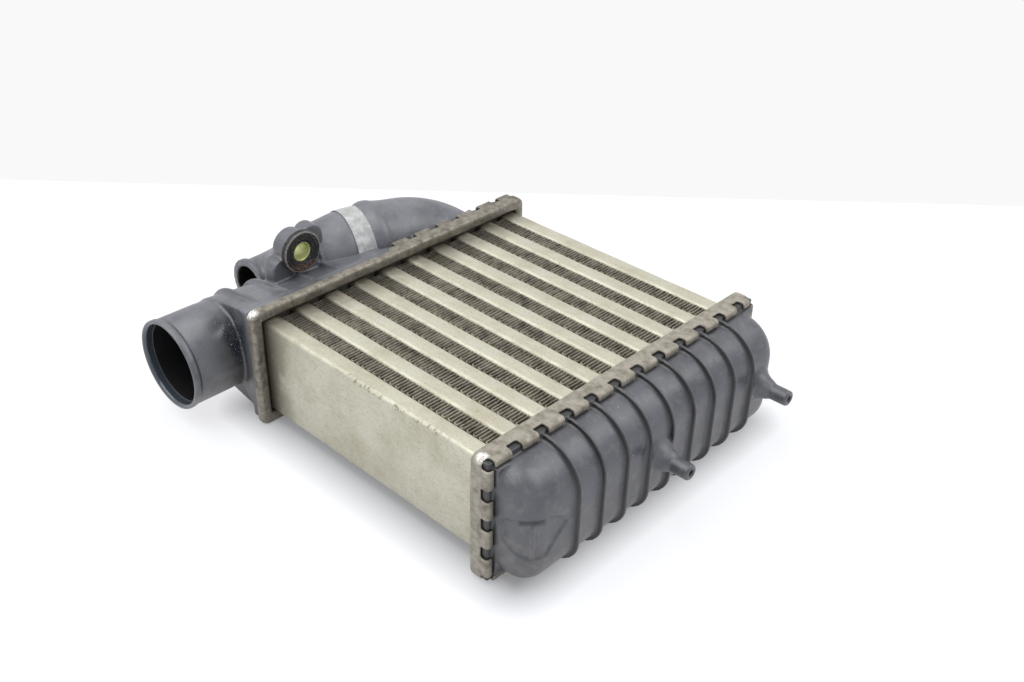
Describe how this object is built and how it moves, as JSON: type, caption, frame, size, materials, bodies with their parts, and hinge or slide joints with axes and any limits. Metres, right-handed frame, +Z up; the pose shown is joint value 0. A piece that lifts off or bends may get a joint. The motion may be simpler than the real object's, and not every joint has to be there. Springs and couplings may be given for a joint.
{
  "type": "intercooler",
  "caption": "Air-to-air intercooler: core of flat tubes and folded fins, crimped headers, moulded tanks with a large port, a second port on a bent duct, an eye and location pegs.",
  "frame": {"origin": "middle of the outline, on the surface that the lower rims of the two headers lie on", "axes": "+X along the tubes from the port header to the return header, +Y along the headers away from the large port's mouth, +Z up through the depth of the core"},
  "size_m": [0.3377, 0.2584, 0.101],
  "materials": {
    "core_aluminium": "brazed, dull, stained",
    "fin_aluminium": "brazed, dusty",
    "header_aluminium": "brazed, pressed, worn",
    "tank_plastic": "glass-filled, moulded, satin",
    "seal_rubber": "matte",
    "bush_rubber": "matte, dusty",
    "sleeve_steel": "zinc plated, yellow passivated",
    "band_plastic": "satin"
  },
  "bodies": {
    "root": {"tube_1": "core_aluminium", "tube_2": "core_aluminium", "tube_3": "core_aluminium", "tube_4": "core_aluminium", "tube_5": "core_aluminium", "tube_6": "core_aluminium", "tube_7": "core_aluminium", "tube_8": "core_aluminium", "tube_9": "core_aluminium", "tube_10": "core_aluminium", "turbulator_1": "fin_aluminium", "turbulator_2": "fin_aluminium", "turbulator_3": "fin_aluminium", "turbulator_4": "fin_aluminium", "turbulator_5": "fin_aluminium", "turbulator_6": "fin_aluminium", "turbulator_7": "fin_aluminium", "turbulator_8": "fin_aluminium", "turbulator_9": "fin_aluminium", "turbulator_10": "fin_aluminium", "fin_row_1": "fin_aluminium", "fin_row_2": "fin_aluminium", "fin_row_3": "fin_aluminium", "fin_row_4": "fin_aluminium", "fin_row_5": "fin_aluminium", "fin_row_6": "fin_aluminium", "fin_row_7": "fin_aluminium", "fin_row_8": "fin_aluminium", "fin_row_9": "fin_aluminium", "port_header": "header_aluminium", "return_header": "header_aluminium", "port_seal": "seal_rubber", "return_seal": "seal_rubber", "port_tank": "tank_plastic", "return_tank": "tank_plastic", "mount_grommet": "bush_rubber", "mount_sleeve": "sleeve_steel", "duct_band": "band_plastic"}
  },
  "joints": []
}
